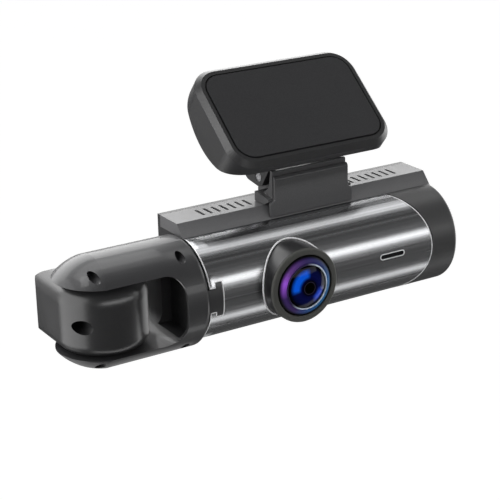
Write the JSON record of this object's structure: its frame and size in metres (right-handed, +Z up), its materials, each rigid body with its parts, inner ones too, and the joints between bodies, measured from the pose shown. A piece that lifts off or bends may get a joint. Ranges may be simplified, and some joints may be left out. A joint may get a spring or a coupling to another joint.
{
  "type": "dash camera",
  "caption": "Cylindrical dash camera with a flat display back, front lens barrel, forked arm with a swivelling cabin camera, and a tilting windscreen mount.",
  "frame": {"origin": "middle of the adhesive face that sticks to the windscreen", "axes": "+Z up, the front lens looks along -Y, +X along the body from the cabin camera to the end cap"},
  "size_m": [0.1302, 0.0471, 0.0739],
  "materials": {
    "adhesive": "matte adhesive foam",
    "pad_shell": "fine satin",
    "bracket_shell": "fine satin",
    "steel": "turned",
    "dark_steel": "blackened",
    "brushed_cover": "brushed along the length, gun metal",
    "top_shell": "satin charcoal",
    "body_shell": "satin black",
    "cap_shell": "satin black",
    "arm_shell": "satin charcoal",
    "pod_shell": "semi-gloss black",
    "barrel": "gloss black",
    "chrome_trim": "polished",
    "coated": "purple to blue sheen",
    "lens_glass": "coated blue",
    "inner_black": "matte black",
    "circuit_board": "green solder mask",
    "light_guide": "smoked",
    "screen": "dark glass",
    "display": "dark",
    "metal_can": "stamped",
    "battery_wrap": "wrap film",
    "gold_can": "plated",
    "key_cap": "satin",
    "ir_lamp": "deep red resin"
  },
  "bodies": {
    "windscreen_mount": {"adhesive_pad": "adhesive", "pad_plate": "pad_shell", "pad_back": "pad_shell", "pad_screws": "steel", "hinge_pin": "steel", "hinge_washers": "steel"},
    "camera_body": {"mount_bracket": "bracket_shell", "bracket_cover": "bracket_shell", "bracket_screws": "steel", "top_cover": "top_shell", "front_cover": "brushed_cover", "front_housing": "inner_black", "rear_housing": "body_shell", "end_cap": "cap_shell", "housing_screws": "dark_steel", "barrel_housing": "barrel", "barrel_base_ring": "chrome_trim", "barrel_front_ring": "body_shell", "lens_coated_ring": "coated", "lens_trim_ring": "chrome_trim", "front_lens": "lens_glass", "rear_lens": "lens_glass", "lens_holder": "inner_black", "sensor_board": "circuit_board", "indicator_bezel": "chrome_trim", "indicator_window": "light_guide", "screen_glass": "screen", "lcd_module": "display", "main_board": "circuit_board", "key_switches": "metal_can", "processor_heatsink": "metal_can", "battery": "battery_wrap", "speaker": "inner_black", "microphone": "gold_can", "card_socket": "metal_can", "usb_socket": "metal_can", "arm_flange": "inner_black", "arm_front_shell": "arm_shell", "arm_rear_shell": "arm_shell", "arm_screws": "dark_steel", "pivot_pins": "steel"},
    "cabin_camera": {"pod_front_shell": "pod_shell", "pod_rear_shell": "pod_shell", "pod_screw": "dark_steel", "pod_window": "screen", "pod_lens": "lens_glass", "pod_lens_ring": "inner_black", "pod_ir_leds": "ir_lamp", "pod_board": "circuit_board"},
    "memory_card_body": {"memory_card": "inner_black"},
    "power_key_body": {"power_key": "key_cap"},
    "menu_key_body": {"menu_key": "key_cap"},
    "up_key_body": {"up_key": "key_cap"},
    "down_key_body": {"down_key": "key_cap"}
  },
  "joints": [
    {"name": "mount_tilt", "type": "hinge", "parent": "windscreen_mount", "child": "camera_body", "pos_m": [0, 0.0006, -0.0203], "axis": [1, 0, 0], "range_deg": [0, 30]},
    {"name": "cabin_camera_swivel", "type": "hinge", "parent": "camera_body", "child": "cabin_camera", "pos_m": [-0.07185, -0.008, -0.0462], "axis": [0, 0, 1], "range_deg": [-15, 120]},
    {"name": "memory_card_slide", "type": "slide", "parent": "camera_body", "child": "memory_card_body", "axis": [1, 0, 0], "range_m": [0, 0.012]},
    {"name": "power_key_press", "type": "slide", "parent": "camera_body", "child": "power_key_body", "axis": [0, -1, 0], "range_m": [0, 0.0003], "stiffness_N_per_m": 1500, "springref_m": -0.0003},
    {"name": "menu_key_press", "type": "slide", "parent": "camera_body", "child": "menu_key_body", "axis": [0, -1, 0], "range_m": [0, 0.0003], "stiffness_N_per_m": 1500, "springref_m": -0.0003},
    {"name": "up_key_press", "type": "slide", "parent": "camera_body", "child": "up_key_body", "axis": [0, -1, 0], "range_m": [0, 0.0003], "stiffness_N_per_m": 1500, "springref_m": -0.0003},
    {"name": "down_key_press", "type": "slide", "parent": "camera_body", "child": "down_key_body", "axis": [0, -1, 0], "range_m": [0, 0.0003], "stiffness_N_per_m": 1500, "springref_m": -0.0003}
  ]
}
